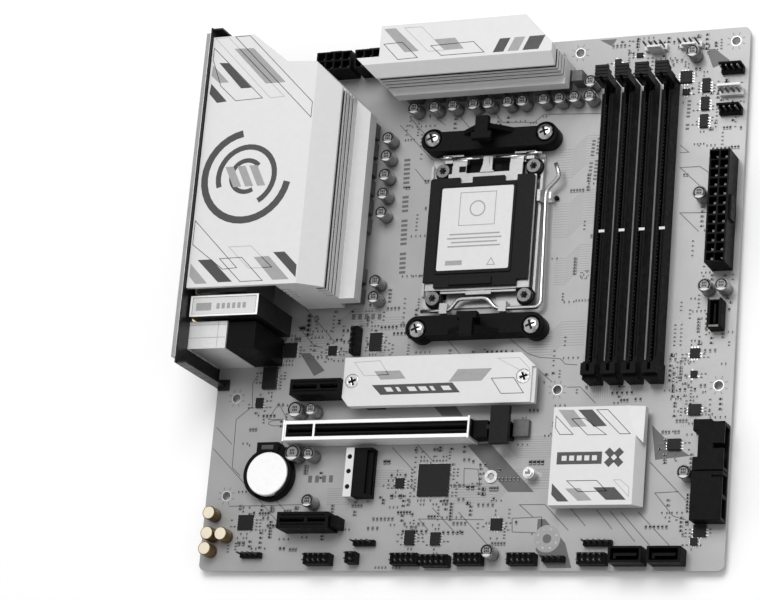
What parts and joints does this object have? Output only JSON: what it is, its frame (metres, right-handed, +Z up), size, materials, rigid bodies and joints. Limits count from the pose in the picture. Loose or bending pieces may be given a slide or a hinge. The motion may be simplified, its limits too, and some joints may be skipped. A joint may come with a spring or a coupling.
{
  "type": "computer motherboard",
  "caption": "Micro-ATX computer motherboard: finned white heat sinks, fixed rear port panel, covered processor socket, memory slots with latches, expansion and storage slots.",
  "frame": {"origin": "centre of the bounding box in plan, at its lowest point, with the component side facing up", "axes": "+X from the rear port panel to the front edge, +Y from the expansion slot edge to the processor power edge, +Z up out of the component side"},
  "size_m": [0.2522, 0.2462, 0.046],
  "materials": {
    "board": "silver grey solder mask over glass fibre",
    "white_metal": "silver white coating on extruded aluminium",
    "pad": "soft silicone",
    "choke": "grey ferrite alloy",
    "chip": "moulded epoxy",
    "steel": "plated sheet steel",
    "dark_steel": "black coating on sheet steel",
    "can": "plain drawn can with printed top",
    "gold_can": "gold sleeve",
    "black_plastic": "moulded glass filled nylon",
    "black_cap": "moulded with a satin face",
    "label": "plain paper label",
    "latch": "moulded nylon",
    "contact": "thin gold plating",
    "gold": "gold plated brass",
    "button": "moulded",
    "chip_part": "ceramic chip parts",
    "solder": "tinned"
  },
  "bodies": {
    "board": {"pcb": "board", "vrm_heatsink_left": "white_metal", "vrm_heatsink_top": "white_metal", "thermal_pads": "pad", "chokes": "choke", "m2_heatsink": "white_metal", "m2_screws": "steel", "m2_standoffs": "steel", "m2_connectors": "black_plastic", "m2_connector_strip": "steel", "chipset_heatsink": "white_metal", "chipset": "chip", "heatsink_screws": "steel", "vrm_capacitors": "can", "board_capacitors": "can", "audio_capacitors": "gold_can", "cpu_socket": "black_plastic", "socket_frame": "steel", "socket_screws": "steel", "cooler_brackets": "black_plastic", "cooler_screws": "steel", "cooler_backplate": "dark_steel", "dimm_slots": "black_plastic", "atx_power_24pin": "black_plastic", "cpu_power_8pin": "black_plastic", "pcie_x1_slots": "black_plastic", "pcie_x16_slot": "black_plastic", "pcie_x16_armor": "steel", "usb_c_header": "black_plastic", "front_usb_header": "black_plastic", "sata_side": "black_plastic", "sata_upright": "black_plastic", "pin_headers": "black_plastic", "contact_pins": "contact", "battery_holder": "black_plastic", "io_shield": "dark_steel", "io_shield_lip": "steel", "audio_jacks": "steel", "audio_back": "black_plastic", "wifi_module": "steel", "antenna_jacks": "gold", "network_usb_ports": "steel", "usb_ports": "steel", "video_ports": "steel", "port_tongues": "black_plastic", "flash_button_base": "black_plastic", "chip_packages": "chip", "chip_parts": "chip_part", "solder_points": "solder"},
    "latch_1": {"dimm_latch_1": "latch"},
    "latch_2": {"dimm_latch_2": "latch"},
    "latch_3": {"dimm_latch_3": "latch"},
    "latch_4": {"dimm_latch_4": "latch"},
    "plate": {"load_plate": "steel"},
    "cap": {"socket_cap": "black_cap", "cap_label": "label"},
    "lever": {"load_lever": "steel"},
    "card_latch": {"pcie_x16_latch": "latch"},
    "battery": {"coin_cell": "steel"},
    "button_body": {"flash_button": "button"}
  },
  "joints": [
    {"name": "memory_latch_1", "type": "hinge", "parent": "board", "child": "latch_1", "pos_m": [0.06508, 0.0945, 0.0078], "axis": [-1, 0, 0], "range_deg": [0, 30]},
    {"name": "memory_latch_2", "type": "hinge", "parent": "board", "child": "latch_2", "pos_m": [0.07423, 0.0945, 0.0078], "axis": [-1, 0, 0], "range_deg": [0, 30]},
    {"name": "memory_latch_3", "type": "hinge", "parent": "board", "child": "latch_3", "pos_m": [0.08338, 0.0945, 0.0078], "axis": [-1, 0, 0], "range_deg": [0, 30]},
    {"name": "memory_latch_4", "type": "hinge", "parent": "board", "child": "latch_4", "pos_m": [0.09253, 0.0945, 0.0078], "axis": [-1, 0, 0], "range_deg": [0, 30]},
    {"name": "load_plate_hinge", "type": "hinge", "parent": "board", "child": "plate", "pos_m": [0.00928, 0.0639, 0.0081], "axis": [-1, 0, 0], "range_deg": [0, 90]},
    {"name": "socket_cap_lift", "type": "slide", "parent": "plate", "child": "cap", "axis": [0, 0, 1], "range_m": [0, 0.02]},
    {"name": "load_lever_hinge", "type": "hinge", "parent": "board", "child": "lever", "pos_m": [0.00928, -0.0065, 0.0087], "axis": [1, 0, 0], "range_deg": [0, 110]},
    {"name": "card_latch_hinge", "type": "hinge", "parent": "board", "child": "card_latch", "pos_m": [0.02428, -0.06206, 0.0078], "axis": [0, 1, 0], "range_deg": [0, 20]},
    {"name": "battery_lift", "type": "slide", "parent": "board", "child": "battery", "axis": [0, 0, 1], "range_m": [0, 0.015]},
    {"name": "flash_button_press", "type": "slide", "parent": "board", "child": "button_body", "axis": [1, 0, 0], "range_m": [0, 0.0009], "stiffness_N_per_m": 60}
  ]
}
